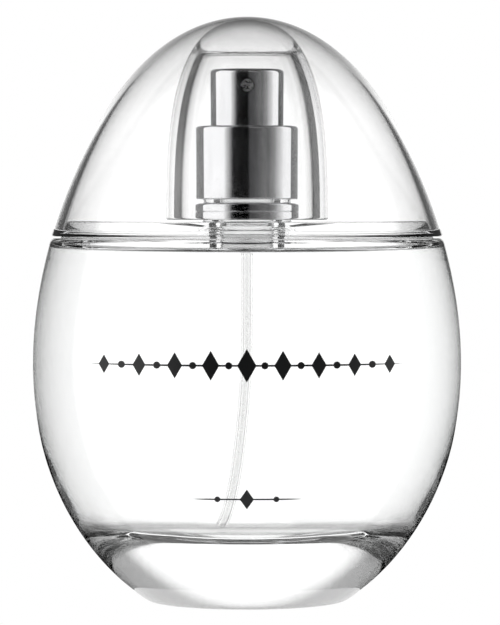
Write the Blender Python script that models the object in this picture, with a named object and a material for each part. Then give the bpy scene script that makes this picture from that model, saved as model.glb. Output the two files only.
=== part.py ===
"""Egg-shaped perfume bottle: heavy clear glass, clear double cap, polished spray pump.

Metres, +Z up. The origin is the centre of the flat foot, and the spray nozzle faces -Y.
"""

import math

import bmesh
import bpy
import numpy as np
from mathutils import Matrix

MM = 0.001
GAP = 0.3 * MM  # between pieces that touch in the real bottle

# Outer egg: z = EGG_MIDDLE + EGG_HALF * s for s from -1 to 1
EGG_MIDDLE = 45.2 * MM
EGG_HALF = 50.5 * MM
EGG_WIDTH = (34.96 * MM, -4.77 * MM, -0.395 * MM, 2.80 * MM)  # powers of s

# Bottle
HEEL_RADIUS = 1.6 * MM  # rounding where the side meets the foot
HEEL_RISE = 0.8  # its top, its start on the foot and its middle point, in heel radii
HEEL_START = 1.3
HEEL_MIDDLE = (0.55, 0.12)
PUNT_RADIUS = 11.0 * MM  # shallow hollow under the foot
PUNT_DEPTH = 0.8 * MM
SHOULDER = 59.45 * MM  # flat ledge that the cap stands over
SEAT = 62.0 * MM  # top of the raised seat inside the cap's rim
EDGE_ROUND = 0.45 * MM
WALL = 4.6 * MM  # above the widest inner ring
CEILING = 57.6 * MM  # underside of the shoulder
CEILING_ROUND = 2.6 * MM
BELLY = 39.0 * MM  # height of the widest inner ring
FLOOR = 12.7 * MM  # lowest point of the inner space
BOWL_POWER = 5.0  # superellipse power of the inner bottom
NECK_RADIUS = 7.2 * MM
NECK_TOP = 69.6 * MM
BORE_RADIUS = 4.5 * MM
BORE_FLARE = 1.1 * MM  # rounding where the bore opens into the ceiling

# Contents and dip tube
LIQUID_LEVEL = 56.7 * MM
TUBE_RADIUS = 0.7 * MM
TUBE_BORE = 0.4 * MM
TUBE_TOP = 57.6 * MM
TUBE_END = 13.9 * MM
TUBE_BEND_START = 44.3 * MM  # straight above this height
TUBE_BEND_SIDE = 3.25 * MM  # how far its end leans towards -X

# Cap: an outer shell, and a thick clear liner inside it round the pump
CAP_FOOT = SHOULDER + GAP
SHELL_WALL = 1.5 * MM  # at the foot
SHELL_CROWN = 0.6 * MM  # at the tip
SEAT_INSET = SHELL_WALL + GAP  # from the outer egg in to the seat's side
LINER_FOOT = SEAT + GAP
LINER_RADIUS = 13.35 * MM
LINER_CROWN = EGG_MIDDLE + EGG_HALF - SHELL_CROWN - GAP
LINER_WALL = 2.45 * MM
LINER_CEILING = 88.7 * MM
LINER_LEAN = 0.015  # share of the radius lost from foot to crown before the doming
LINER_POWERS = (2.9, 2.5)

# Spray pump
COLLAR_RADIUS = 8.5 * MM
COLLAR_INNER = 7.6 * MM
COLLAR_FOOT = 65.6 * MM
COLLAR_TOP = 77.3 * MM
COLLAR_LIP = 1.0 * MM
COLLAR_ROUND = 0.5 * MM
BUTTON_RADIUS = 6.15 * MM
BUTTON_FOOT = 75.5 * MM  # inside the collar
BUTTON_TOP = 86.2 * MM
BUTTON_ROUND = 0.7 * MM
RING_RADIUS = 8.65 * MM
RING_TOP = 65.0 * MM
RING_ROUND = 0.4 * MM
RING_FOOT = SEAT + GAP
PUMP_RADIUS = BORE_RADIUS - GAP
PUMP_FLANGE = 7.2 * MM
PUMP_FOOT = TUBE_TOP + GAP
PUMP_TOP = 70.6 * MM
NOZZLE_HEIGHT = 83.6 * MM
NOZZLE_HOLE = 1.45 * MM
NOZZLE_HOLE_DEPTH = 2.2 * MM
DRILL_BEYOND = 1.2 * MM  # how far the hole's cutter stands out of the button
NOZZLE_RADIUS = NOZZLE_HOLE - GAP
NOZZLE_LENGTH = 1.6 * MM
NOZZLE_DISH = 0.45 * MM  # radius of the orifice dish
NOZZLE_DISH_DEPTH = 0.35 * MM

# How finely round shapes are cut
EGG_SIDES = 40
LINER_SIDES = 30
PUMP_SIDES = 36
SMALL_SIDES = 18
TUBE_SIDES = 10
TUBE_STEPS = 18
ARC_STEPS = 3
PUNT_STEPS = 4
BOTTLE_STEPS = 14
SHELL_STEPS = 11
LINER_STEPS = 9
INNER_STEPS = (6, 11)  # up the inner wall, and down the inner bottom
SHARP_ANGLE = 35


def clear_scene():
    for thing in list(bpy.data.objects):
        bpy.data.objects.remove(thing, do_unlink=True)


def material(name, colour, roughness, metallic=0.0, transmission=0.0, ior=1.5):
    mat = bpy.data.materials.new(name)
    mat.use_nodes = True
    shader = mat.node_tree.nodes["Principled BSDF"]
    shader.inputs["Base Color"].default_value = (*colour, 1.0)
    shader.inputs["Roughness"].default_value = roughness
    shader.inputs["Metallic"].default_value = metallic
    shader.inputs["Transmission Weight"].default_value = transmission
    shader.inputs["IOR"].default_value = ior
    return mat


def egg_radius(z):
    """Radius of the outer egg at height z: an ellipse whose width is a cubic in s."""
    s = (z - EGG_MIDDLE) / EGG_HALF
    width = sum(size * s**power for power, size in enumerate(EGG_WIDTH))
    return math.sqrt(max(0.0, 1.0 - s * s)) * width


def egg_side(low, high, steps):
    """Points (radius, height) up the outer egg, evenly spaced in the ellipse's angle."""
    start = math.asin((low - EGG_MIDDLE) / EGG_HALF)
    end = math.asin(min(1.0, (high - EGG_MIDDLE) / EGG_HALF))
    heights = EGG_MIDDLE + EGG_HALF * np.sin(np.linspace(start, end, steps))
    return [(egg_radius(z), z) for z in heights]


def arc(centre, radius, start, end, steps=ARC_STEPS):
    """Points (radius, height) round an arc, with its angles in degrees."""
    turns = np.radians(np.linspace(start, end, steps + 1))
    return [(centre[0] + radius * math.cos(a), centre[1] + radius * math.sin(a)) for a in turns]


def inner_side(steps_up, steps_down):
    """Inside of the glass from the ceiling's rounding down to the middle of the floor."""
    top = CEILING - CEILING_ROUND
    rounding = arc((egg_radius(top) - WALL - CEILING_ROUND, top), CEILING_ROUND, 90, 0)
    wall = [(egg_radius(z) - WALL, z) for z in np.linspace(top, BELLY, steps_up)[1:]]
    widest = egg_radius(BELLY) - WALL
    bowl = []
    for turn in np.linspace(0, math.pi / 2, steps_down)[1:]:
        across = math.cos(turn) ** (2 / BOWL_POWER)
        down = math.sin(turn) ** (2 / BOWL_POWER)
        bowl.append((widest * across, BELLY - (BELLY - FLOOR) * down))
    bowl[-1] = (0.0, FLOOR)
    return rounding + wall + bowl


def turned(name, outline, sides, mat):
    """A solid of revolution round Z from an outline of (radius, height) points.

    An outline whose two ends are on the axis is left open there; any other is closed.
    """
    mesh = bpy.data.meshes.new(name)
    work = bmesh.new()
    verts = [work.verts.new((r, 0.0, z)) for r, z in outline]
    edges = [work.edges.new(pair) for pair in zip(verts, verts[1:])]
    if outline[0][0] > 0.0 or outline[-1][0] > 0.0:
        edges.append(work.edges.new((verts[-1], verts[0])))
    bmesh.ops.spin(
        work,
        geom=verts + edges,
        cent=(0, 0, 0),
        axis=(0, 0, 1),
        angle=math.tau,
        steps=sides,
        use_merge=True,
    )
    bmesh.ops.remove_doubles(work, verts=work.verts, dist=1e-7)
    bmesh.ops.recalc_face_normals(work, faces=work.faces)
    work.to_mesh(mesh)
    work.free()
    mesh.shade_smooth()
    mesh.set_sharp_from_angle(angle=math.radians(SHARP_ANGLE))
    mesh.materials.append(mat)
    thing = bpy.data.objects.new(name, mesh)
    bpy.context.collection.objects.link(thing)
    return thing


def cut(thing, cutter):
    """Cuts the cutter's shape out of thing with an exact Boolean."""
    cutter.hide_render = True
    cutter.display_type = "WIRE"
    step = thing.modifiers.new(f"cut_{cutter.name}", "BOOLEAN")
    step.operation = "DIFFERENCE"
    step.solver = "EXACT"
    step.object = cutter


def bottle(mat):
    share = np.linspace(0, 1, PUNT_STEPS, endpoint=False)
    punt = [(PUNT_RADIUS * k, PUNT_DEPTH * math.cos(k * math.pi / 2)) for k in share]
    heel_height = HEEL_RADIUS * HEEL_RISE
    heel_reach = egg_radius(heel_height)
    heel = [
        (PUNT_RADIUS, 0.0),
        (heel_reach - HEEL_START * HEEL_RADIUS, 0.0),
        (heel_reach - HEEL_MIDDLE[0] * HEEL_RADIUS, HEEL_MIDDLE[1] * HEEL_RADIUS),
    ]
    side = egg_side(heel_height, SHOULDER - EDGE_ROUND, BOTTLE_STEPS)
    rim = arc(
        (egg_radius(SHOULDER) - EDGE_ROUND, SHOULDER - EDGE_ROUND), EDGE_ROUND, 45, 90, 1
    )
    seat = [
        (egg_radius(SHOULDER) - SEAT_INSET, SHOULDER),
        (egg_radius(SEAT) - SEAT_INSET, SEAT),
    ]
    neck = [(NECK_RADIUS, SEAT), (NECK_RADIUS, NECK_TOP), (BORE_RADIUS, NECK_TOP)]
    flare_centre = (BORE_RADIUS + BORE_FLARE, CEILING + BORE_FLARE)
    flare = arc(flare_centre, BORE_FLARE, 180, 270)
    outline = punt + heel + side + rim + seat + neck + flare + inner_side(*INNER_STEPS)
    return turned("bottle", outline, EGG_SIDES, mat)


def tube_path(low, steps):
    """The dip tube's middle line: straight, then a parabola leaning towards -X."""
    fall = TUBE_BEND_START - TUBE_END
    points = []
    for z in np.linspace(TUBE_TOP, low, steps):
        below = max(0.0, TUBE_BEND_START - z)
        points.append((-TUBE_BEND_SIDE * (below / fall) ** 2, 0.0, z))
    return points


def rod(name, radius, low, steps, sides, mat):
    """A bent round rod along the dip tube's middle line down to height low."""
    path = np.array(tube_path(low, steps))
    heading = np.gradient(path, axis=0)
    heading /= np.linalg.norm(heading, axis=1)[:, None]
    side = np.cross(heading, (0.0, 1.0, 0.0))
    turns = np.linspace(0, math.tau, sides, endpoint=False)
    work = bmesh.new()
    rings = []
    for centre, across in zip(path, side):
        ring = [
            centre + radius * (math.cos(a) * across + math.sin(a) * np.array((0, 1, 0)))
            for a in turns
        ]
        rings.append([work.verts.new(point) for point in ring])
    for upper, lower in zip(rings, rings[1:]):
        for k in range(sides):
            after = (k + 1) % sides
            work.faces.new((upper[k], upper[after], lower[after], lower[k]))
    work.faces.new(rings[0])
    work.faces.new(rings[-1])
    bmesh.ops.recalc_face_normals(work, faces=work.faces)
    mesh = bpy.data.meshes.new(name)
    work.to_mesh(mesh)
    work.free()
    mesh.shade_smooth()
    mesh.set_sharp_from_angle(angle=math.radians(SHARP_ANGLE))
    mesh.materials.append(mat)
    thing = bpy.data.objects.new(name, mesh)
    bpy.context.collection.objects.link(thing)
    return thing


def below_level(outline, level):
    """The part of a downward outline that lies below level, starting exactly on it."""
    for k, ((r_high, z_high), (r_low, z_low)) in enumerate(zip(outline, outline[1:])):
        if z_high >= level > z_low:
            share = (z_high - level) / (z_high - z_low)
            return [(r_high + share * (r_low - r_high), level)] + outline[k + 1 :]
    raise ValueError("the outline doesn't cross the level")


def liquid(mat):
    """Fills the inner space up to the level, kept clear of the glass and the tube."""
    wall = [(max(0.0, r - GAP), z + GAP) for r, z in inner_side(*INNER_STEPS)]
    outline = [(0.0, LIQUID_LEVEL)] + below_level(wall, LIQUID_LEVEL)
    body = turned("liquid", outline, EGG_SIDES, mat)
    channel = rod("tube_channel", TUBE_RADIUS + GAP, TUBE_END - GAP, TUBE_STEPS, TUBE_SIDES, mat)
    cut(body, channel)
    return body


def dip_tube(mat):
    tube = rod("dip_tube", TUBE_RADIUS, TUBE_END, TUBE_STEPS, TUBE_SIDES, mat)
    bore = rod("tube_bore", TUBE_BORE, TUBE_END - GAP, TUBE_STEPS, TUBE_SIDES - 2, mat)
    bore.location.z = -GAP / 2  # stops inside the top end, open at the bottom end
    cut(tube, bore)
    return tube


def cap(mat):
    """The outer shell: the egg's outside, and its inside set in by a wall that thins upwards."""
    tip = EGG_MIDDLE + EGG_HALF
    outside = egg_side(CAP_FOOT, tip, SHELL_STEPS)
    outside[-1] = (0.0, tip)
    inside = []
    for (r_low, z_low), (r, z), (r_high, z_high) in zip(outside, outside[1:], outside[2:]):
        run = math.hypot(r_high - r_low, z_high - z_low)
        rise = (z - CAP_FOOT) / (tip - CAP_FOOT)
        wall = SHELL_CROWN + (SHELL_WALL - SHELL_CROWN) * (1 - rise**3)
        inside.append((r - wall * (z_high - z_low) / run, z + wall * (r_high - r_low) / run))
    foot = (egg_radius(CAP_FOOT) - SHELL_WALL, CAP_FOOT)
    outline = outside + [(0.0, tip - SHELL_CROWN)] + inside[::-1] + [foot]
    return turned("cap", outline, EGG_SIDES, mat)


def liner_radius(z):
    """Outside of the liner at height z: a slight lean times a superellipse doming."""
    t = (z - LINER_FOOT) / (LINER_CROWN - LINER_FOOT)
    doming = max(0.0, 1.0 - t ** LINER_POWERS[0]) ** (1 / LINER_POWERS[1])
    return LINER_RADIUS * (1.0 - LINER_LEAN * t) * doming


def cap_liner(mat):
    rise = np.sin(np.linspace(0, math.pi / 2, LINER_STEPS + 1))
    heights = LINER_FOOT + (LINER_CROWN - LINER_FOOT) * rise
    outside = [(liner_radius(z), z) for z in heights[:-1]] + [(0.0, LINER_CROWN)]
    rise = np.sin(np.linspace(0, math.pi / 2, LINER_STEPS - 1))
    heights = LINER_FOOT + (LINER_CEILING - LINER_FOOT) * rise
    inside = [(liner_radius(z) - LINER_WALL, z) for z in heights]
    outline = [(0.0, LINER_CEILING)] + inside[::-1] + outside
    return turned("cap_liner", outline, LINER_SIDES, mat)


def collar(mat):
    outline = [
        (COLLAR_INNER, COLLAR_FOOT),
        (COLLAR_RADIUS, COLLAR_FOOT),
        *arc((COLLAR_RADIUS - COLLAR_ROUND, COLLAR_TOP - COLLAR_ROUND), COLLAR_ROUND, 0, 90),
        (BUTTON_RADIUS + GAP, COLLAR_TOP),
        (BUTTON_RADIUS + GAP, COLLAR_TOP - COLLAR_LIP),
        (COLLAR_INNER, COLLAR_TOP - COLLAR_LIP),
    ]
    return turned("collar", outline, PUMP_SIDES, mat)


def collar_ring(mat):
    inner = NECK_RADIUS + GAP
    outline = [
        (inner, RING_FOOT),
        *arc((RING_RADIUS - RING_ROUND, RING_FOOT + RING_ROUND), RING_ROUND, 270, 360, 1),
        *arc((RING_RADIUS - RING_ROUND, RING_TOP - RING_ROUND), RING_ROUND, 0, 90, 1),
        (inner, RING_TOP),
    ]
    return turned("collar_ring", outline, PUMP_SIDES, mat)


def pump_body(mat):
    seat = NECK_TOP + GAP
    outline = [
        (0.0, PUMP_FOOT),
        (PUMP_RADIUS, PUMP_FOOT),
        (PUMP_RADIUS, seat),
        (PUMP_FLANGE, seat),
        (PUMP_FLANGE, PUMP_TOP),
        (0.0, PUMP_TOP),
    ]
    return turned("pump_body", outline, SMALL_SIDES, mat)


def spray_button(mat, parent):
    outline = [
        (0.0, BUTTON_FOOT),
        (BUTTON_RADIUS, BUTTON_FOOT),
        *arc((BUTTON_RADIUS - BUTTON_ROUND, BUTTON_TOP - BUTTON_ROUND), BUTTON_ROUND, 0, 90),
        (0.0, BUTTON_TOP),
    ]
    button = turned("spray_button", outline, PUMP_SIDES, mat)
    bottom = BUTTON_RADIUS - NOZZLE_HOLE_DEPTH
    beyond = BUTTON_RADIUS + DRILL_BEYOND
    drill = [(0.0, bottom), (NOZZLE_HOLE, bottom), (NOZZLE_HOLE, beyond), (0.0, beyond)]
    hole = turned("nozzle_hole", drill, SMALL_SIDES, mat)
    hole.data.transform(Matrix.Rotation(math.pi / 2, 4, "X"))
    hole.location.z = NOZZLE_HEIGHT
    cut(button, hole)
    button.parent = parent
    return button


def nozzle(mat, parent):
    """The spray insert: a short plug with a dished front, turned round the spray line."""
    back = BUTTON_RADIUS - NOZZLE_HOLE_DEPTH + GAP
    front = back + NOZZLE_LENGTH
    outline = [
        (0.0, back),
        (NOZZLE_RADIUS, back),
        (NOZZLE_RADIUS, front),
        (NOZZLE_DISH, front),
        (0.0, front - NOZZLE_DISH_DEPTH),
    ]
    insert = turned("nozzle", outline, SMALL_SIDES, mat)
    insert.data.transform(Matrix.Rotation(math.pi / 2, 4, "X"))
    insert.location.z = NOZZLE_HEIGHT
    insert.parent = parent
    return insert


def main():
    clear_scene()
    glass = material("clear_glass", (0.98, 0.99, 0.99), 0.0, transmission=1.0, ior=1.5)
    acrylic = material("clear_acrylic", (0.99, 0.99, 0.99), 0.0, transmission=1.0, ior=1.49)
    fragrance = material("fragrance", (0.98, 0.98, 0.97), 0.0, transmission=1.0, ior=1.36)
    metal = material("polished_metal", (0.83, 0.83, 0.84), 0.06, metallic=1.0)
    grey = material("nozzle_plastic", (0.2, 0.2, 0.21), 0.4)
    tubing = material("clear_tubing", (0.9, 0.9, 0.9), 0.1, transmission=1.0, ior=1.5)
    white = material("white_plastic", (0.82, 0.82, 0.82), 0.4)

    bottle(glass)
    liquid(fragrance)
    dip_tube(tubing)
    pump_body(white)
    collar_ring(metal)
    collar(metal)
    cap(acrylic)
    cap_liner(acrylic)

    press = bpy.data.objects.new("press_axis", None)  # the button slides down this axis
    bpy.context.collection.objects.link(press)
    spray_button(metal, press)
    nozzle(grey, press)


main()
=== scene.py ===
"""Looks of an egg-shaped perfume bottle: clear glass, clear double cap, polished spray pump.

Metres, +Z up, nozzle facing -Y. Every outline is a list of (radius, height) points.
"""

import math

import bmesh
import bpy
import numpy as np
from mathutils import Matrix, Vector


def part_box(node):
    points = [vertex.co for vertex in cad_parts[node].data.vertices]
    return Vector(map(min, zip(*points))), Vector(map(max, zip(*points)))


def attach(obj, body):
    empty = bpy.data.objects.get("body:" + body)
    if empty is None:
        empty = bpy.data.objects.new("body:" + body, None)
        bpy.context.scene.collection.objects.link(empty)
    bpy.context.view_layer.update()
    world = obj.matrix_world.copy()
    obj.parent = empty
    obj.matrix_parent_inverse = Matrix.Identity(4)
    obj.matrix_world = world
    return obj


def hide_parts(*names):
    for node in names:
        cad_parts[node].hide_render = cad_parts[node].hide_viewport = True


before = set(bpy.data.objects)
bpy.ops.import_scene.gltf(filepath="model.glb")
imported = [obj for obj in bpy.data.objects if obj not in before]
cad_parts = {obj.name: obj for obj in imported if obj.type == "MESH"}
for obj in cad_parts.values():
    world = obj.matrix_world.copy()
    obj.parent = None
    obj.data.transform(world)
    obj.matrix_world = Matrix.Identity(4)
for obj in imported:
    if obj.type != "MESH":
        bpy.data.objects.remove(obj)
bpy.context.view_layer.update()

MM = 0.001

# Heights and reaches read from the frame
FOOT_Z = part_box("bottle")[0].z
TIP_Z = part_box("cap")[1].z
CAP_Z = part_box("cap")[0].z
NECK_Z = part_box("bottle")[1].z
RING_Z = (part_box("collar_ring")[0].z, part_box("collar_ring")[1].z)
RING_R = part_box("collar_ring")[1].x
COLLAR_Z = (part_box("collar")[0].z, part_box("collar")[1].z)
COLLAR_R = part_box("collar")[1].x
BUTTON_Z = (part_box("spray_button")[0].z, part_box("spray_button")[1].z)
BUTTON_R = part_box("spray_button")[1].x
NOZZLE_LOW, NOZZLE_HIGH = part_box("nozzle")
NOZZLE_Z = (NOZZLE_LOW.z + NOZZLE_HIGH.z) / 2
NOZZLE_R = (NOZZLE_HIGH.x - NOZZLE_LOW.x) / 2
TUBE_Z = (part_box("dip_tube")[0].z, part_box("dip_tube")[1].z)
PUMP_Z = (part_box("pump_body")[0].z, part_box("pump_body")[1].z)
LEVEL_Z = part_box("liquid")[1].z
LIQUID_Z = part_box("liquid")[0].z
LINER_Z = (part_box("cap_liner")[0].z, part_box("cap_liner")[1].z)
LINER_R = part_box("cap_liner")[1].x

# The outer egg: z = EGG_MIDDLE + EGG_HALF * s
EGG_HALF = 50.5 * MM
EGG_MIDDLE = TIP_Z - EGG_HALF
EGG_WIDTH = (34.96 * MM, -4.77 * MM, -0.395 * MM, 2.80 * MM)  # powers of s

# Bottle glass
GAP = 0.3 * MM
SHOULDER_Z = CAP_Z - GAP
HEEL = 1.6 * MM  # rounding where the side meets the foot
HEEL_RISE = 0.8  # its top and its start on the foot, in heel radii
HEEL_START = 1.3
HEEL_STEP = 0.01 * MM  # over which the side's lean is taken
PUNT_R = 11.0 * MM
PUNT_DEPTH = 0.8 * MM
SEAT_Z = LINER_Z[0] - GAP
EDGE = 0.45 * MM
SEAT_EDGE = 0.3 * MM
WALL = 4.6 * MM
CEILING_Z = 57.6 * MM
CEILING_ROUND = 2.6 * MM
BELLY_Z = 39.0 * MM
FLOOR_Z = LIQUID_Z - GAP
BOWL_POWER = 5.0
NECK_R = 7.2 * MM
NECK_EDGE = 0.2 * MM
BORE_R = 4.5 * MM
BORE_FLARE = 1.1 * MM

# Perfume and dip tube
REACH_IN = 0.04 * MM  # how far the perfume reaches into what holds it
MENISCUS = 0.35 * MM
MENISCUS_REACH = 0.8 * MM
TUBE_R = 0.7 * MM
TUBE_BORE = 0.4 * MM
TUBE_BEND_Z = 44.3 * MM
TUBE_BEND_SIDE = 3.25 * MM
TUBE_STEPS = 70
POOL_AROUND = 128
SHEATH_STEPS = 60  # down the tube's wall inside the perfume

# Cap: an outer shell and a thick liner inside it
SHELL_WALL = 1.5 * MM
SHELL_CROWN = 0.6 * MM
SHELL_EDGE = 0.25 * MM
SHELL_FOOT_Z = CAP_Z + 0.4 * MM  # the sides start above the foot's rounding
SHELL_TOP_R = 0.3 * MM  # the inside closes on the axis from here
SEAT_INSET = SHELL_WALL + GAP
LINER_WALL = 2.45 * MM
LINER_CEILING = 88.7 * MM
LINER_LEAN = 0.015
LINER_POWERS = (2.9, 2.5)
LINER_CORNER = 0.7 * MM
LINER_CORNER_REACH = (0.35, 1.4)  # of its control and its end inwards, in corner sizes
LINER_EDGE = 0.4 * MM

# Metal
COLLAR_INNER_R = 7.6 * MM
COLLAR_ROLL = 0.25 * MM
COLLAR_ROUND = 0.5 * MM
COLLAR_LIP = 0.15 * MM
COLLAR_LIP_DEEP = 1.0 * MM
RING_BEAD = 0.4 * MM
RING_GROOVE = 0.12 * MM
BUTTON_ROUND = 0.7 * MM
BUTTON_DISH = 0.25 * MM  # the finger rest is slightly hollow
BUTTON_RIM = 0.2 * MM
SMALL_EDGE = 0.1 * MM
PUMP_FOOT_EDGE = 0.4 * MM
WELL_R = NOZZLE_R + 0.03 * MM
WELL_DEPTH = 2.2 * MM

# Nozzle insert
FACE_EDGE = 0.08 * MM
FACE_DISH = 0.25 * MM
THREAD_HIGH = 0.03 * MM
THREAD_WIDE = 0.045 * MM
ORIFICE_R = 0.16 * MM
ORIFICE_DEEP = 0.4 * MM
ORIFICE_TAPER = 0.875  # its radius at the bottom, as a share of that at the top

# Steps round turned pieces
AROUND = 192
METAL_AROUND = 160
PUMP_AROUND = 96
SMALL_AROUND = 72
WELL_AROUND = 64
SHARP_ANGLE = 32.0
ON_AXIS = 1e-9


# ---------------------------------------------------------------- outlines


def egg_radius(z):
    """Outer radius at height z: a half circle in s times a cubic in s."""
    s = np.clip((np.asarray(z, float) - EGG_MIDDLE) / EGG_HALF, -1.0, 1.0)
    width = sum(size * s**power for power, size in enumerate(EGG_WIDTH))
    return np.sqrt(1.0 - s * s) * width


def egg_side(low, high, steps):
    """Up the outer egg from low to high, evenly spaced in the angle whose sine is s."""
    ends = np.arcsin(np.clip((np.array((low, high)) - EGG_MIDDLE) / EGG_HALF, -1.0, 1.0))
    z = EGG_MIDDLE + EGG_HALF * np.sin(np.linspace(ends[0], ends[1], steps))
    return np.stack((egg_radius(z), z), 1)


def arc(centre, radius, start, end, steps=12):
    """Part of a circle: centre plus radius times the cosine and sine of a turning angle."""
    turn = np.radians(np.linspace(start, end, steps + 1))
    return np.stack((centre[0] + radius * np.cos(turn), centre[1] + radius * np.sin(turn)), 1)


def curve_between(start, control, end, steps=10):
    """A quadratic curve: it leaves start towards control and reaches end from control."""
    t = np.linspace(0.0, 1.0, steps)[:, None]
    a, b, c = np.array(start), np.array(control), np.array(end)
    return (1 - t) ** 2 * a + 2 * t * (1 - t) * b + t**2 * c


def inner_side(grow=0.0):
    """Inside of the glass from the ceiling's rounding down to the middle of the floor.

    The wall keeps WALL from the egg, and below BELLY_Z the bottom is a superellipse.
    grow moves it outwards, into the glass.
    """
    top = CEILING_Z - CEILING_ROUND
    reach = float(egg_radius(top)) - WALL
    rounding = arc((reach - CEILING_ROUND, top), CEILING_ROUND + grow, 90, 0, 24)
    z = np.linspace(top, BELLY_Z, 60)[1:]
    wall = np.stack((egg_radius(z) - WALL + grow, z), 1)
    widest = float(egg_radius(BELLY_Z)) - WALL + grow
    turn = np.linspace(0.0, math.pi / 2, 160)[1:]
    across = np.abs(np.cos(turn)) ** (2 / BOWL_POWER)
    down = np.sin(turn) ** (2 / BOWL_POWER)
    bowl = np.stack((widest * across, BELLY_Z - (BELLY_Z - FLOOR_Z + grow) * down), 1)
    bowl[-1, 0] = 0.0
    return np.vstack((rounding, wall, bowl))


# ---------------------------------------------------------------- meshes


def put_mesh(name, points, faces, mat, sharp=SHARP_ANGLE):
    """Makes an object from an array of points and a list of face arrays."""
    mesh = bpy.data.meshes.new(name)
    mesh.from_pydata(points.tolist(), [], [f for block in faces for f in block.tolist()])
    mesh.update()
    mesh.shade_smooth()
    mesh.set_sharp_from_angle(angle=math.radians(sharp))
    mesh.materials.append(mat)
    thing = bpy.data.objects.new(name, mesh)
    bpy.context.collection.objects.link(thing)
    return thing


def ring_faces(first, second, around):
    """Quads between two rings of points whose first indices are given, as an array."""
    k = np.arange(around)
    after = np.roll(k, -1)
    return np.stack((first + k, first + after, second + after, second + k), 1)


def turned_grid(outline, around):
    """Points and faces of an outline turned round Z. Ends on the axis become one point."""
    outline = np.asarray(outline, float)
    turn = np.linspace(0.0, math.tau, around, endpoint=False)
    points, starts, count = [], [], 0
    for r, z in outline:
        starts.append(count)
        if r < ON_AXIS:
            points.append(np.array([[0.0, 0.0, z]]))
            count += 1
            continue
        ring = np.stack((r * np.cos(turn), r * np.sin(turn), np.full(around, z)), 1)
        points.append(ring)
        count += around
    closed = outline[0, 0] > ON_AXIS and outline[-1, 0] > ON_AXIS
    pairs = list(zip(range(len(outline)), range(1, len(outline))))
    if closed:
        pairs.append((len(outline) - 1, 0))
    faces = []
    k = np.arange(around)
    after = np.roll(k, -1)
    for a, b in pairs:
        if outline[a, 0] < ON_AXIS:
            faces.append(np.stack((np.full(around, starts[a]), starts[b] + after, starts[b] + k), 1))
        elif outline[b, 0] < ON_AXIS:
            faces.append(np.stack((starts[a] + k, starts[a] + after, np.full(around, starts[b])), 1))
        else:
            faces.append(ring_faces(starts[a], starts[b], around))
    return np.vstack(points), faces


def face_outwards(thing, apart=1e-8):
    """Joins points less than apart from each other and turns every face to point outwards."""
    work = bmesh.new()
    work.from_mesh(thing.data)
    bmesh.ops.remove_doubles(work, verts=work.verts, dist=apart)
    bmesh.ops.recalc_face_normals(work, faces=work.faces)
    work.to_mesh(thing.data)
    work.free()
    return thing


def turned(name, outline, mat, around=AROUND, sharp=SHARP_ANGLE):
    """A solid of revolution: the outline turned round Z."""
    points, faces = turned_grid(outline, around)
    return face_outwards(put_mesh(name, points, faces, mat, sharp))


def placed(thing, body, slot, *nodes):
    """Attaches a piece to its body and hides the CAD nodes that it stands for. slot is not used."""
    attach(thing, body)
    if nodes:
        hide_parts(*nodes)
    return thing


# ---------------------------------------------------------------- materials


def new_material(name):
    mat = bpy.data.materials.new(name)
    mat.use_nodes = True
    tree = mat.node_tree
    return mat, tree, tree.nodes["Principled BSDF"]


def ripple_group():
    """Node group: a slow swell and a fine grain on Object coordinates, as a bumped normal."""
    group = bpy.data.node_groups.new("surface_ripple", "ShaderNodeTree")
    for label, default in (
        ("Swell Scale", 60.0),
        ("Swell Height", 0.00001),
        ("Grain Scale", 3000.0),
        ("Grain Height", 0.0),
    ):
        socket = group.interface.new_socket(label, in_out="INPUT", socket_type="NodeSocketFloat")
        socket.default_value = default
    group.interface.new_socket("Normal", in_out="OUTPUT", socket_type="NodeSocketVector")
    nodes, links = group.nodes, group.links
    start = nodes.new("NodeGroupInput")
    end = nodes.new("NodeGroupOutput")
    where = nodes.new("ShaderNodeTexCoord")
    swell = nodes.new("ShaderNodeTexNoise")
    grain = nodes.new("ShaderNodeTexNoise")
    grain.inputs["Detail"].default_value = 3.0
    swell.inputs["Detail"].default_value = 1.0
    links.new(where.outputs["Object"], swell.inputs["Vector"])
    links.new(where.outputs["Object"], grain.inputs["Vector"])
    links.new(start.outputs["Swell Scale"], swell.inputs["Scale"])
    links.new(start.outputs["Grain Scale"], grain.inputs["Scale"])
    high = nodes.new("ShaderNodeMath")
    high.operation = "MULTIPLY"
    links.new(swell.outputs["Fac"], high.inputs[0])
    links.new(start.outputs["Swell Height"], high.inputs[1])
    fine = nodes.new("ShaderNodeMath")
    fine.operation = "MULTIPLY_ADD"
    links.new(grain.outputs["Fac"], fine.inputs[0])
    links.new(start.outputs["Grain Height"], fine.inputs[1])
    links.new(high.outputs[0], fine.inputs[2])
    bump = nodes.new("ShaderNodeBump")
    bump.inputs["Distance"].default_value = 1.0
    links.new(fine.outputs[0], bump.inputs["Height"])
    links.new(bump.outputs["Normal"], end.inputs["Normal"])
    return group


RIPPLE = ripple_group()


def add_ripple(tree, shader, **sizes):
    node = tree.nodes.new("ShaderNodeGroup")
    node.node_tree = RIPPLE
    for label, size in sizes.items():
        node.inputs[label.replace("_", " ").title()].default_value = size
    tree.links.new(node.outputs["Normal"], shader.inputs["Normal"])


def smooth_range(tree, source, start, end):
    """0 at start and 1 at end, by the smooth step 3t^2 - 2t^3 between them."""
    node = tree.nodes.new("ShaderNodeMapRange")
    node.interpolation_type = "SMOOTHSTEP"
    node.inputs["From Min"].default_value = min(start, end)
    node.inputs["From Max"].default_value = max(start, end)
    node.inputs["To Min"].default_value = float(start > end)
    node.inputs["To Max"].default_value = float(start < end)
    tree.links.new(source, node.inputs["Value"])
    return node.outputs["Result"]


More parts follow.
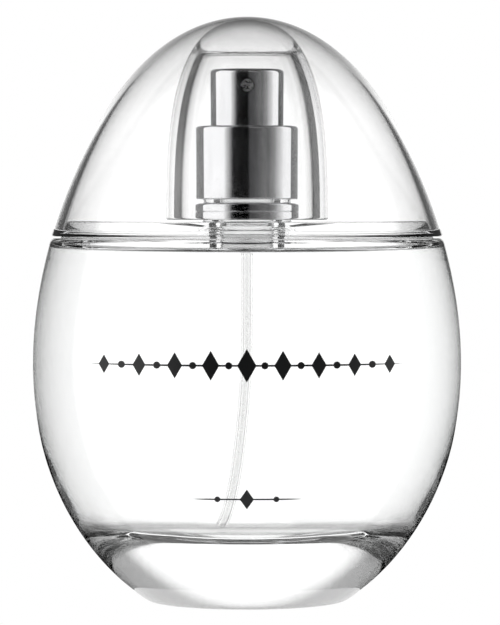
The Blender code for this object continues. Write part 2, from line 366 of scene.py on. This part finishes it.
def times(tree, first, second):
    node = tree.nodes.new("ShaderNodeMath")
    node.operation = "MULTIPLY"
    tree.links.new(first, node.inputs[0])
    if isinstance(second, float):
        node.inputs[1].default_value = second
    else:
        tree.links.new(second, node.inputs[1])
    return node.outputs[0]


BASE_SHADE_Z = (12.0 * MM, 17.5 * MM)  # heights between which the painted shade in the thick base fades out
BASE_SHADE_FACING = (0.4, 0.58)  # facing weights between which that painted shade fades in
METAL_FACING = (0.003, 0.07)  # facing weights between which the metal's colour turns from painted shade to light


def painted_edge_shade(tree, shader, colour, rim, base_shade):
    """Painted shade on glass seen edge-on, put in its Base Color: the rim weight times f^3 everywhere, and
    the base weight over a band of facing weights near the foot.

    f is the facing weight, 0 where the surface faces the eye and 1 where it is edge-on.
    """
    facing = tree.nodes.new("ShaderNodeLayerWeight").outputs["Facing"]
    steep = times(tree, times(tree, facing, facing), facing)
    place = tree.nodes.new("ShaderNodeTexCoord")
    height = tree.nodes.new("ShaderNodeSeparateXYZ")
    tree.links.new(place.outputs["Object"], height.inputs[0])
    low = smooth_range(tree, height.outputs["Z"], BASE_SHADE_Z[1], BASE_SHADE_Z[0])
    wide = smooth_range(tree, facing, *BASE_SHADE_FACING)
    both = tree.nodes.new("ShaderNodeMath")
    both.operation = "MAXIMUM"
    tree.links.new(times(tree, steep, rim), both.inputs[0])
    tree.links.new(times(tree, times(tree, low, wide), base_shade), both.inputs[1])
    # Painted shade: the glass colour is mixed towards black by the larger of the two weights.
    blend = tree.nodes.new("ShaderNodeMix")
    blend.data_type = "RGBA"
    blend.inputs["A"].default_value = (*colour, 1.0)
    blend.inputs["B"].default_value = (0.0, 0.0, 0.0, 1.0)
    tree.links.new(both.outputs[0], blend.inputs["Factor"])
    tree.links.new(blend.outputs["Result"], shader.inputs["Base Color"])


def clear_material(name, colour, ior, swell, rim=0.0, base_shade=0.0):
    """A smooth see-through material with a faint swell in its surface, and painted shade where it is seen
    edge-on when a rim weight is given.
    """
    mat, tree, shader = new_material(name)
    shader.inputs["Base Color"].default_value = (*colour, 1.0)
    if rim:
        painted_edge_shade(tree, shader, colour, rim, base_shade)
    shader.inputs["Roughness"].default_value = 0.0
    shader.inputs["Transmission Weight"].default_value = 1.0
    shader.inputs["IOR"].default_value = ior
    add_ripple(tree, shader, swell_scale=70.0, swell_height=swell)
    return mat


def metal_material():
    """Polished metal with painted shade: its colour is darker where it faces the eye."""
    mat, tree, shader = new_material("polished_aluminium")
    facing = tree.nodes.new("ShaderNodeLayerWeight").outputs["Facing"]
    facing_shade = tree.nodes.new("ShaderNodeMix")
    facing_shade.data_type = "RGBA"
    facing_shade.inputs["A"].default_value = (0.22, 0.22, 0.23, 1.0)
    facing_shade.inputs["B"].default_value = (0.9, 0.9, 0.91, 1.0)
    # Painted shade: dark colour where the metal faces the eye, light towards its edges.
    tree.links.new(smooth_range(tree, facing, *METAL_FACING), facing_shade.inputs["Factor"])
    tree.links.new(facing_shade.outputs["Result"], shader.inputs["Base Color"])
    shader.inputs["Metallic"].default_value = 1.0
    shader.inputs["Roughness"].default_value = 0.035
    add_ripple(tree, shader, swell_scale=200.0, swell_height=0.000002)
    return mat


def nozzle_material():
    """A dark rim round a grey face with a worn swirl, by distance from the nozzle's axis."""
    mat, tree, shader = new_material("nozzle_face")
    shader.inputs["Roughness"].default_value = 0.22
    place = tree.nodes.new("ShaderNodeTexCoord")
    apart = tree.nodes.new("ShaderNodeVectorMath")
    apart.inputs[1].default_value = (0.0, 0.0, NOZZLE_Z)
    apart.operation = "SUBTRACT"
    flat = tree.nodes.new("ShaderNodeVectorMath")
    flat.operation = "MULTIPLY"
    flat.inputs[1].default_value = (1.0, 0.0, 1.0)
    far = tree.nodes.new("ShaderNodeVectorMath")
    far.operation = "LENGTH"
    rim = tree.nodes.new("ShaderNodeMapRange")
    rim.inputs["From Min"].default_value = NOZZLE_R - 0.2 * MM
    rim.inputs["From Max"].default_value = NOZZLE_R - 0.12 * MM
    swirl = tree.nodes.new("ShaderNodeTexNoise")
    swirl.inputs["Scale"].default_value = 1600.0
    swirl.inputs["Distortion"].default_value = 1.6
    spread = tree.nodes.new("ShaderNodeMapRange")
    spread.inputs["From Min"].default_value = 0.4
    spread.inputs["From Max"].default_value = 0.52
    face = tree.nodes.new("ShaderNodeMix")
    face.data_type = "RGBA"
    face.inputs["A"].default_value = (0.06, 0.06, 0.065, 1.0)
    face.inputs["B"].default_value = (1.0, 1.0, 1.0, 1.0)
    both = tree.nodes.new("ShaderNodeMix")
    both.data_type = "RGBA"
    both.inputs["B"].default_value = (0.006, 0.006, 0.006, 1.0)
    link = tree.links.new
    link(place.outputs["Object"], apart.inputs[0])
    link(apart.outputs["Vector"], flat.inputs[0])
    link(flat.outputs["Vector"], far.inputs[0])
    link(far.outputs["Value"], rim.inputs["Value"])
    link(place.outputs["Object"], swirl.inputs["Vector"])
    link(swirl.outputs["Fac"], spread.inputs["Value"])
    link(spread.outputs["Result"], face.inputs["Factor"])
    link(rim.outputs["Result"], both.inputs["Factor"])
    link(face.outputs["Result"], both.inputs["A"])
    link(both.outputs["Result"], shader.inputs["Base Color"])
    add_ripple(tree, shader, swell_scale=1500.0, swell_height=0.00012)
    return mat


def milky_material():
    """Natural plastic that lets light through and scatters it."""
    mat, tree, shader = new_material("milky_plastic")
    shader.inputs["Base Color"].default_value = (0.97, 0.97, 0.97, 1.0)
    shader.inputs["Roughness"].default_value = 0.25
    shader.inputs["Transmission Weight"].default_value = 0.95
    shader.inputs["IOR"].default_value = 1.2
    add_ripple(tree, shader, swell_scale=300.0, swell_height=0.0)
    return mat


def plastic_material(name, colour, roughness, grain=0.000004):
    mat, tree, shader = new_material(name)
    shader.inputs["Base Color"].default_value = (*colour, 1.0)
    shader.inputs["Roughness"].default_value = roughness
    add_ripple(tree, shader, swell_scale=300.0, swell_height=0.0, grain_scale=4000.0, grain_height=grain)
    return mat


# Glass, acrylic and liner carry painted edge shade, and the glass also painted shade in its thick base.
GLASS = clear_material("flint_glass", (0.995, 0.998, 0.998), 1.5, 0.000004, rim=0.85, base_shade=0.85)
ACRYLIC = clear_material("cast_acrylic", (0.998, 0.998, 0.998), 1.49, 0.000003, rim=0.45)
LINER = clear_material("cap_liner_acrylic", (0.998, 0.998, 0.998), 1.49, 0.000003, rim=1.0)
PERFUME = clear_material("perfume", (0.998, 0.998, 0.996), 1.36, 0.0)
TUBING = clear_material("tubing", (0.97, 0.97, 0.97), 1.5, 0.0)
METAL = metal_material()
INK = plastic_material("fired_ink", (0.012, 0.012, 0.013), 0.4)
GREY_INK = plastic_material("fired_grey_ink", (0.06, 0.06, 0.062), 0.4)
NOZZLE_GREY = nozzle_material()
MILKY = milky_material()


# ---------------------------------------------------------------- pieces


def make_bottle():
    """Foot hollow, heel, egg side, rim, raised seat, neck, flared bore and the inside.

    The hollow is a cosine dome, and the heel a quadratic curve that meets the side in line.
    """
    punt_turn = np.linspace(0.0, math.pi / 2, 20, endpoint=False)
    punt = np.stack((PUNT_R * punt_turn / (math.pi / 2), PUNT_DEPTH * np.cos(punt_turn)), 1)
    punt[:, 1] += FOOT_Z
    heel_top = HEEL_RISE * HEEL
    low = np.array((float(egg_radius(heel_top)), heel_top))
    above = heel_top + HEEL_STEP
    nearby = np.array((float(egg_radius(above)), above))
    lean = nearby - low
    control = low - lean * (low[1] / lean[1])
    foot_r = low[0] - HEEL_START * HEEL
    heel = curve_between((foot_r, FOOT_Z), control, low, 14)[:-1]
    side = egg_side(heel_top, SHOULDER_Z - EDGE, 170)
    rim_r = float(egg_radius(SHOULDER_Z)) - EDGE
    rim = arc((rim_r, SHOULDER_Z - EDGE), EDGE, 20, 90, 8)
    ledge_r = float(egg_radius(SHOULDER_Z)) - SEAT_INSET
    seat_r = float(egg_radius(SEAT_Z)) - SEAT_INSET
    seat = np.vstack(
        (
            arc((ledge_r + SEAT_EDGE, SHOULDER_Z + SEAT_EDGE), SEAT_EDGE, 270, 185, 6),
            arc((seat_r - SEAT_EDGE, SEAT_Z - SEAT_EDGE), SEAT_EDGE, 10, 90, 6),
            arc((NECK_R + SEAT_EDGE, SEAT_Z + SEAT_EDGE), SEAT_EDGE, 270, 180, 6),
        )
    )
    neck = [(NECK_R, NECK_Z - NECK_EDGE), (NECK_R - NECK_EDGE, NECK_Z), (BORE_R, NECK_Z)]
    flare = arc((BORE_R + BORE_FLARE, CEILING_Z + BORE_FLARE), BORE_FLARE, 180, 270, 12)
    outline = np.vstack((punt, [(PUNT_R, FOOT_Z)], heel, side, rim, seat, neck, flare, inner_side()))
    thing = turned("bottle_glass", outline, GLASS)
    return placed(thing, "bottle_body", "clear_glass", "bottle")


def tube_line(z):
    """Middle line of the dip tube at heights z: straight, then a parabola towards -X."""
    below = np.clip(TUBE_BEND_Z - z, 0.0, None) / (TUBE_BEND_Z - TUBE_Z[0])
    return np.stack((-TUBE_BEND_SIDE * below**2, np.zeros_like(z), z), 1)


def along_tube(radii, heights, around):
    """Rings of the given radii round the tube's middle line, square to it."""
    line = tube_line(heights)
    step = 1e-5
    heading = tube_line(heights + step) - tube_line(heights - step)
    heading /= np.linalg.norm(heading, axis=1)[:, None]
    side = np.cross((0.0, 1.0, 0.0), heading)
    turn = np.linspace(0.0, math.tau, around, endpoint=False)
    ahead = np.array((0.0, 1.0, 0.0))
    offsets = (
        np.cos(turn)[None, :, None] * side[:, None, :] + np.sin(turn)[None, :, None] * ahead
    )
    return (line[:, None, :] + np.asarray(radii)[:, None, None] * offsets).reshape(-1, 3)


def chained(first, count, around):
    """Faces joining count rings that lie one after another from index first."""
    return [ring_faces(first + k * around, first + (k + 1) * around, around) for k in range(count - 1)]


def make_perfume():
    """One closed surface: the pool's outside and top, and a sheath inside the tube's wall.

    The top rises at the glass by a small exponential, the meniscus.
    """
    around = POOL_AROUND
    side = inner_side(REACH_IN)
    below = side[side[:, 1] < LEVEL_Z + MENISCUS]
    reach = below[0, 0]
    inner = TUBE_R - REACH_IN
    r = reach - (reach - inner) * (np.linspace(1.0, 0.0, 40) ** 2)
    top = np.stack((r, LEVEL_Z + MENISCUS * np.exp((r - reach) / MENISCUS_REACH)), 1)
    points, faces = turned_grid(np.vstack((top, below)), around)
    steps = SHEATH_STEPS
    outer_z = np.linspace(LEVEL_Z, TUBE_Z[0] + REACH_IN, steps)
    heights = np.concatenate((outer_z, outer_z[::-1]))
    radii = np.concatenate((np.full(steps, inner), np.full(steps, TUBE_BORE + REACH_IN)))
    sheath = along_tube(radii, heights, around)
    first = len(points)
    middle = np.array([(0.0, 0.0, LEVEL_Z)])
    last = first + (2 * steps - 1) * around
    k = np.arange(around)
    lid = np.stack((last + k, last + (k + 1) % around, np.full(around, first + len(sheath))), 1)
    points = np.vstack((points, sheath, middle))
    faces = faces + chained(first, 2 * steps, around) + [lid]
    thing = face_outwards(put_mesh("perfume", points, faces, PERFUME), apart=2e-6)
    return placed(thing, "bottle_body", "fragrance", "liquid")


def make_tube():
    """A clear tube with an open bore, along the bent line."""
    around, steps = 48, TUBE_STEPS
    z = np.linspace(TUBE_Z[1], TUBE_Z[0], steps)
    heights = np.concatenate((z, z[::-1]))
    radii = np.concatenate((np.full(steps, TUBE_R), np.full(steps, TUBE_BORE)))
    points = along_tube(radii, heights, around)
    faces = chained(0, 2 * steps, around) + [ring_faces((2 * steps - 1) * around, 0, around)]
    thing = face_outwards(put_mesh("dip_tube_clear", points, faces, TUBING))
    return placed(thing, "bottle_body", "clear_tubing", "dip_tube")


def make_cap():
    """The outer shell: the egg's outside, and its inside set in along the surface normal.

    The wall goes from SHELL_WALL at the foot to SHELL_CROWN at the tip by a cube law.
    """
    outside = egg_side(CAP_Z, TIP_Z, 190)
    run = np.gradient(outside, axis=0)
    run /= np.linalg.norm(run, axis=1)[:, None]
    rise = (outside[:, 1] - CAP_Z) / (TIP_Z - CAP_Z)
    wall = SHELL_CROWN + (SHELL_WALL - SHELL_CROWN) * (1 - rise**3)
    inside = outside + wall[:, None] * np.stack((-run[:, 1], run[:, 0]), 1)
    outside[-1, 0] = 0.0
    inside = inside[inside[:, 0] > SHELL_TOP_R]
    inside = inside[inside[:, 1] > SHELL_FOOT_Z]
    foot_r = float(egg_radius(CAP_Z))
    outer_foot = arc((foot_r - SHELL_EDGE, CAP_Z + SHELL_EDGE), SHELL_EDGE, 270, 350, 6)
    inner_r = foot_r - SHELL_WALL
    inner_foot = arc((inner_r + SHELL_EDGE, CAP_Z + SHELL_EDGE), SHELL_EDGE, 190, 270, 6)
    side = outside[outside[:, 1] > SHELL_FOOT_Z]
    crown = [(0.0, TIP_Z - SHELL_CROWN)]
    outline = np.vstack((crown, inside[::-1], inner_foot, outer_foot, side))
    thing = turned("cap_shell", outline, ACRYLIC)
    return placed(thing, "bottle_body", "clear_acrylic", "cap")


def liner_radius(z):
    """Outside of the liner at height z: a slight lean times a superellipse doming."""
    t = (z - LINER_Z[0]) / (LINER_Z[1] - LINER_Z[0])
    doming = np.clip(1.0 - t ** LINER_POWERS[0], 0.0, 1.0) ** (1 / LINER_POWERS[1])
    return LINER_R * (1.0 - LINER_LEAN * t) * doming


def make_liner():
    """The clear cup upside down round the pump, with a flat ceiling and a rounded foot."""
    foot, crown = LINER_Z
    edge = LINER_EDGE
    z = foot + edge + (crown - foot - edge) * np.sin(np.linspace(0, math.pi / 2, 150))
    outside = np.stack((liner_radius(z), z), 1)
    outside[-1, 0] = 0.0
    z = np.linspace(foot + edge, LINER_CEILING - LINER_CORNER, 100)
    inside = np.stack((liner_radius(z) - LINER_WALL, z), 1)
    corner_r = inside[-1, 0]
    control, end = (
        (corner_r - reach * LINER_CORNER, LINER_CEILING) for reach in LINER_CORNER_REACH
    )
    corner = curve_between(inside[-1], control, end)[1:]
    mouth_r = inside[0, 0]
    foot_in = arc((mouth_r + edge, foot + edge), edge, 190, 270, 6)
    foot_out = arc((outside[0, 0] - edge, foot + edge), edge, 270, 350, 6)
    ceiling = [(0.0, LINER_CEILING), (corner[-1, 0] * 0.5, LINER_CEILING)]
    outline = np.vstack((ceiling, corner[::-1], inside[::-1], foot_in, foot_out, outside))
    thing = turned("cap_liner_cup", outline, LINER)
    return placed(thing, "bottle_body", "clear_acrylic", "cap_liner")


def make_collar():
    """Smooth cover of the crimped collar, with a rounded shoulder and a rolled lower edge."""
    low, high = COLLAR_Z
    lip = BUTTON_R + GAP
    inner, roll, edge, small = COLLAR_INNER_R, COLLAR_ROLL, COLLAR_ROUND, COLLAR_LIP
    outline = np.vstack(
        (
            [(inner, low + roll)],
            arc((inner + roll, low + roll), roll, 180, 270, 6),
            arc((COLLAR_R - roll, low + roll), roll, 270, 360, 6),
            arc((COLLAR_R - edge, high - edge), edge, 0, 90, 10),
            arc((lip + small, high - small), small, 90, 180, 5),
            [(lip, high - COLLAR_LIP_DEEP), (inner, high - COLLAR_LIP_DEEP)],
        )
    )
    thing = turned("collar_cover", outline, METAL, around=METAL_AROUND)
    return placed(thing, "bottle_body", "polished_metal", "collar")


def make_ring():
    """The crimped ring: two round beads with a small round groove between them."""
    low, high = RING_Z
    inner = NECK_R + GAP
    bead = RING_BEAD
    middle = (low + high) / 2
    outline = np.vstack(
        (
            [(inner, low)],
            arc((RING_R - bead, low + bead), bead, 270, 360, 8),
            arc((RING_R, middle), RING_GROOVE, 270, 90, 8),
            arc((RING_R - bead, high - bead), bead, 0, 90, 8),
            [(inner, high)],
        )
    )
    thing = turned("collar_ring_crimped", outline, METAL, around=METAL_AROUND)
    return placed(thing, "bottle_body", "polished_metal", "collar_ring")


def make_pump_body():
    """A stem in the bottle's neck under a wider flange on top of it."""
    low, high = PUMP_Z
    stem = BORE_R - GAP
    seat = NECK_Z + GAP
    foot, edge = PUMP_FOOT_EDGE, SMALL_EDGE
    outline = [(0.0, low), (stem - foot, low), (stem, low + foot), (stem, seat)]
    outline += [(NECK_R, seat), (NECK_R, high - edge), (NECK_R - edge, high), (0.0, high)]
    thing = turned("pump_chamber", outline, MILKY, around=PUMP_AROUND)
    return placed(thing, "bottle_body", "white_plastic", "pump_body")


def drill(thing, cutter):
    """Cuts the cutter out of thing with an exact Boolean and applies it."""
    step = thing.modifiers.new("well", "BOOLEAN")
    step.operation = "DIFFERENCE"
    step.solver = "EXACT"
    step.object = cutter
    seen = bpy.context.evaluated_depsgraph_get()
    mesh = bpy.data.meshes.new_from_object(thing.evaluated_get(seen))
    thing.modifiers.clear()
    thing.data = mesh
    mesh.shade_smooth()
    mesh.set_sharp_from_angle(angle=math.radians(SHARP_ANGLE))
    bpy.data.objects.remove(cutter, do_unlink=True)


def towards_nozzle(thing, height):
    """Turns a piece made round Z to lie along -Y at the given height, in its mesh."""
    co = np.empty(len(thing.data.vertices) * 3)
    thing.data.vertices.foreach_get("co", co)
    x, y, z = co.reshape(-1, 3).T
    thing.data.vertices.foreach_set("co", np.stack((x, -z, y + height), 1).ravel())
    thing.data.update()


def make_button():
    """A solid button with a hollow finger rest on top and the nozzle's well in its front.

    The rest is BUTTON_DISH times (1 - r^2)^1.5 deep, where r is a share of its own radius.
    """
    low, high = BUTTON_Z
    edge, small = BUTTON_ROUND, SMALL_EDGE
    dish_r = BUTTON_R - edge - BUTTON_RIM
    r = np.linspace(dish_r, 0.0, 14)
    hollow = np.stack((r, high - BUTTON_DISH * (1 - (r / dish_r) ** 2) ** 1.5), 1)
    outline = np.vstack(
        (
            [(0.0, low), (BUTTON_R - small, low), (BUTTON_R, low + small)],
            arc((BUTTON_R - edge, high - edge), edge, 0, 90, 12),
            hollow,
        )
    )
    button = turned("spray_button_cover", outline, METAL, around=METAL_AROUND)
    floor, beyond = BUTTON_R - WELL_DEPTH, BUTTON_R * 1.2
    well_outline = [(0.0, floor), (WELL_R, floor), (WELL_R, beyond), (0.0, beyond)]
    well = turned("well", well_outline, METAL, around=WELL_AROUND)
    towards_nozzle(well, NOZZLE_Z)
    drill(button, well)
    return placed(button, "button_body", "polished_metal", "spray_button")


def make_nozzle():
    """The insert: a face dished by 1 - r^2, with cosine rings like a fine thread, and an orifice."""
    back = -NOZZLE_HIGH.y
    front = -NOZZLE_LOW.y
    r = np.linspace(NOZZLE_R - FACE_EDGE, ORIFICE_R, 60)
    face = front - FACE_DISH * (1 - (r / NOZZLE_R) ** 2) - THREAD_HIGH * (1 + np.cos(r / THREAD_WIDE))
    deep = face[-1] - ORIFICE_DEEP
    outline = np.vstack(
        (
            [(0.0, back), (NOZZLE_R, back), (NOZZLE_R, front - FACE_EDGE)],
            np.stack((r, face), 1),
            [(ORIFICE_TAPER * ORIFICE_R, deep), (0.0, deep)],
        )
    )
    thing = turned("nozzle_insert", outline, NOZZLE_GREY, around=SMALL_AROUND)
    towards_nozzle(thing, NOZZLE_Z)
    return placed(thing, "button_body", "nozzle_plastic", "nozzle")


# ---------------------------------------------------------------- printed marks

INK_LOW = 0.01 * MM  # the marks' under and upper faces above the glass
INK_HIGH = 0.05 * MM
BORDER_Z = 39.9 * MM
BORDER_STEP = 5.6 * MM
BORDER_SIDE = 4  # lozenges on each side of the middle one
SMALL_BORDER_Z = 18.9 * MM


def on_glass(x, z, lift):
    """The point on the front of the egg at x and z, lifted along the radius."""
    reach = egg_radius(z) + lift
    share = x / egg_radius(z)
    return np.stack((reach * share, -reach * np.sqrt(1 - share**2), z), -1)


def strip(middle_x, half_length, low, high, steps):
    """A printed shape between two edges, low(s) and high(s), for s from -1 to 1 along X."""
    s = np.linspace(-1.0, 1.0, steps)
    x = middle_x + half_length * s
    across = np.linspace(0.0, 1.0, 4)
    z = low(s)[:, None] * (1 - across) + high(s)[:, None] * across
    x = np.repeat(x[:, None], 4, 1)
    sheets = [on_glass(x, z, lift).reshape(-1, 3) for lift in (INK_HIGH, INK_LOW)]
    grid = np.arange(steps * 4).reshape(steps, 4)
    a, b, c, d = grid[:-1, :-1], grid[1:, :-1], grid[1:, 1:], grid[:-1, 1:]
    top = np.stack((a, b, c, d), -1).reshape(-1, 4)
    under = top[:, ::-1] + steps * 4
    edge = np.concatenate((grid[:, 0], grid[-1, 1:], grid[-2::-1, -1], grid[0, -2:0:-1]))
    after = np.roll(edge, -1)
    wall = np.stack((after, edge, edge + steps * 4, after + steps * 4), 1)
    return np.vstack(sheets), np.vstack((top, under, wall))


def lozenge(x, z, half_wide, half_high):
    """Half height falls evenly to each side."""

    def rise(s):
        return half_high * np.clip(1 - np.abs(s), 0.02, 1)

    return strip(x, half_wide, lambda s: z - rise(s), lambda s: z + rise(s), 17)


def dot(x, z, radius):
    """Half height follows the circle, sqrt(1 - s^2)."""

    def rise(s):
        return radius * np.sqrt(np.clip(1 - s * s, 0.003, 1))

    return strip(x, radius, lambda s: z - rise(s), lambda s: z + rise(s), 21)


def rule(x, z, half_length, half_high):
    """A line whose half height falls at its ends as 1 - s^6."""

    def rise(s):
        return half_high * np.clip((1 - s**6), 0.05, 1)

    return strip(x, half_length, lambda s: z - rise(s), lambda s: z + rise(s), 90)


def printed(name, shapes, mat, slot):
    """Joins printed shapes into one piece on the bottle."""
    points, faces, first = [], [], 0
    for shape_points, shape_faces in shapes:
        points.append(shape_points)
        faces.append(shape_faces + first)
        first += len(shape_points)
    thing = put_mesh(name, np.vstack(points), faces, mat)
    face_outwards(thing)
    return placed(thing, "bottle_body", slot)


def make_print():
    """A border of lozenges and dots on a fine rule, and a smaller one below it."""
    z = BORDER_Z
    shapes = [rule(0.0, z, 25.0 * MM, 0.14 * MM)]
    for k in range(-BORDER_SIDE, BORDER_SIDE + 1):
        size = 1.0 - 0.11 * abs(k)
        shapes.append(lozenge(k * BORDER_STEP, z, 1.5 * MM * size, 2.6 * MM * size))
    for k in range(-BORDER_SIDE, BORDER_SIDE):
        shapes.append(dot((k + 0.5) * BORDER_STEP, z, 0.55 * MM))
    printed("front_border", shapes, INK, "black_print")
    low = SMALL_BORDER_Z
    shapes = [rule(0.0, low, 8.6 * MM, 0.12 * MM), lozenge(0.0, low, 1.1 * MM, 1.6 * MM)]
    for side in (-1, 1):
        shapes.append(dot(side * 4.6 * MM, low, 0.45 * MM))
    printed("front_border_small", shapes, GREY_INK, "black_print")


# ---------------------------------------------------------------- studio

DISTANCE = 592.0 * MM
EYE_Z = 63.2 * MM
AIM_Z = 47.2 * MM
SIDE_STEP = 0.49 * MM
VIEW_TALL = 102.7 * MM  # height seen at the bottle's axis
TENT_R = 3000.0 * MM
PANEL_BACK = 52.0 * MM  # from the bottle's axis to the bright panel behind it
PANEL_HALF = (50.0 * MM, 75.0 * MM)
FLOOR_GLOW = 1.0
FLOOR_R = 20.0 * MM
FLOOR_Z_BELOW = 0.2 * MM  # under the foot

# Brightness at places across the panel (mm from its middle) and at heights on it
PANEL_ACROSS = ((-50, 0.0), (-47, 1.0), (47, 1.0), (50, 0.0))
PANEL_NARROW = ((-75, 0.5), (-32, 0.55), (-20, 1.0), (75, 1.0))  # share of its width
PANEL_UP = ((-75, 1.3), (36, 1.3), (46, 1.0), (56, 0.5), (75, 0.3))

# Brightness of the tent at degrees round it from straight behind the bottle, and up it
TENT_ROUND = (
    (-180, 0.0), (-150, 0.0), (-138, 0.6), (-130, 1.25), (-77, 1.25), (-74, 0.03),
    (-58, 0.03), (-50, 0.1), (-38, 0.1), (38, 0.1), (50, 0.1), (58, 0.03), (72, 0.03),
    (75, 1.25), (95, 1.25), (105, 0.8), (120, 0.25), (135, 0.09), (160, 0.2),
    (174, 0.22), (178, 0.0),
)
TENT_UP = ((-90, 1.0), (-30, 1.0), (40, 1.0), (50, 0.15), (90, 0.05))


def make_camera():
    lens = bpy.data.cameras.new("camera")
    camera = bpy.data.objects.new("camera", lens)
    bpy.context.collection.objects.link(camera)
    camera.location = (SIDE_STEP, -DISTANCE, EYE_Z)
    aim = Vector((0.0, DISTANCE, AIM_Z - EYE_Z))
    camera.rotation_euler = aim.to_track_quat("-Z", "Y").to_euler()
    lens.lens = lens.sensor_width * DISTANCE / VIEW_TALL
    lens.clip_start = 0.01
    lens.clip_end = 10.0
    bpy.context.scene.camera = camera
    return camera


def glow_sheet(name, points, glow, mat):
    """A grid of points with a brightness for each. It glows on both sides, unseen by the camera."""
    grid = np.arange(points.shape[0] * points.shape[1]).reshape(points.shape[:2])
    a, b, c, d = grid[:-1, :-1], grid[1:, :-1], grid[1:, 1:], grid[:-1, 1:]
    faces = np.stack((a, b, c, d), -1).reshape(-1, 4)
    sheet = put_mesh(name, points.reshape(-1, 3), [faces], mat)
    store = sheet.data.attributes.new("glow", "FLOAT", "POINT")
    store.data.foreach_set("value", glow.ravel())
    sheet.visible_camera = False
    return sheet


def glow_material(name, attribute=None, level=1.0):
    mat = bpy.data.materials.new(name)
    mat.use_nodes = True
    tree = mat.node_tree
    shader = tree.nodes["Principled BSDF"]
    shader.inputs["Base Color"].default_value = (0.0, 0.0, 0.0, 1.0)
    shader.inputs["Specular IOR Level"].default_value = 0.0
    shader.inputs["Emission Color"].default_value = (1.0, 1.0, 1.0, 1.0)
    shader.inputs["Emission Strength"].default_value = level
    if attribute:
        read = tree.nodes.new("ShaderNodeAttribute")
        read.attribute_name = attribute
        tree.links.new(read.outputs["Fac"], shader.inputs["Emission Strength"])
    return mat


def make_lights(camera):
    """A bright panel close behind the bottle in a dark tent with soft panels at its sides.

    They hang on a stand in the bottle's middle that turns as the camera does, so every
    view has the light behind the glass. Right is X, up is Y and the camera's side is +Z.
    """
    stand = bpy.data.objects.new("light_stand", None)
    bpy.context.collection.objects.link(stand)
    stand.location = (0.0, 0.0, AIM_Z)
    follow = stand.constraints.new("COPY_ROTATION")
    follow.target = camera
    cloth = glow_material("lit_cloth", "glow")
    turn, rise = np.meshgrid(np.linspace(-180, 180, 361), np.linspace(-90, 90, 91), indexing="ij")
    glow = np.interp(turn, *zip(*TENT_ROUND)) * np.interp(rise, *zip(*TENT_UP))
    a, e = np.radians(turn), np.radians(rise)
    points = TENT_R * np.stack((np.sin(a) * np.cos(e), np.sin(e), -np.cos(a) * np.cos(e)), -1)
    tent = glow_sheet("light_tent", points, glow, cloth)
    x, y = np.meshgrid(
        np.linspace(-1, 1, 101) * PANEL_HALF[0], np.linspace(-1, 1, 76) * PANEL_HALF[1], indexing="ij"
    )
    across = x / MM / np.interp(y / MM, *zip(*PANEL_NARROW))
    glow = np.interp(across, *zip(*PANEL_ACROSS)) * np.interp(y / MM, *zip(*PANEL_UP))
    points = np.stack((x, y, np.full(x.shape, -PANEL_BACK)), -1)
    panel = glow_sheet("bright_panel", points, glow, cloth)
    for sheet in (tent, panel):
        sheet.parent = stand


def make_floor():
    """A round glowing table under the bottle, unseen by the camera."""
    around = 128
    turn = np.linspace(0.0, math.tau, around, endpoint=False)
    points = np.stack((FLOOR_R * np.cos(turn), FLOOR_R * np.sin(turn), np.full(around, -FLOOR_Z_BELOW)), 1)
    mat = glow_material("pale_table", level=FLOOR_GLOW)
    floor = put_mesh("table", points, [np.arange(around)[None, :]], mat)
    floor.visible_camera = False


def make_room():
    """White where the camera looks straight at it, dark for all other light."""
    world = bpy.data.worlds.new("white_room")
    bpy.context.scene.world = world
    world.use_nodes = True
    tree = world.node_tree
    back = tree.nodes["Background"]
    path = tree.nodes.new("ShaderNodeLightPath")
    tree.links.new(path.outputs["Is Camera Ray"], back.inputs["Strength"])
    back.inputs["Color"].default_value = (1.0, 1.0, 1.0, 1.0)


def make_studio():
    camera = make_camera()
    make_lights(camera)
    make_floor()
    make_room()
    scene = bpy.context.scene
    scene.view_settings.view_transform = "Standard"
    scene.cycles.max_bounces = 32
    scene.cycles.transmission_bounces = 32
    scene.cycles.glossy_bounces = 16


def main():
    make_studio()
    make_bottle()
    make_perfume()
    make_tube()
    make_cap()
    make_liner()
    make_collar()
    make_ring()
    make_pump_body()
    make_button()
    make_nozzle()
    make_print()


main()
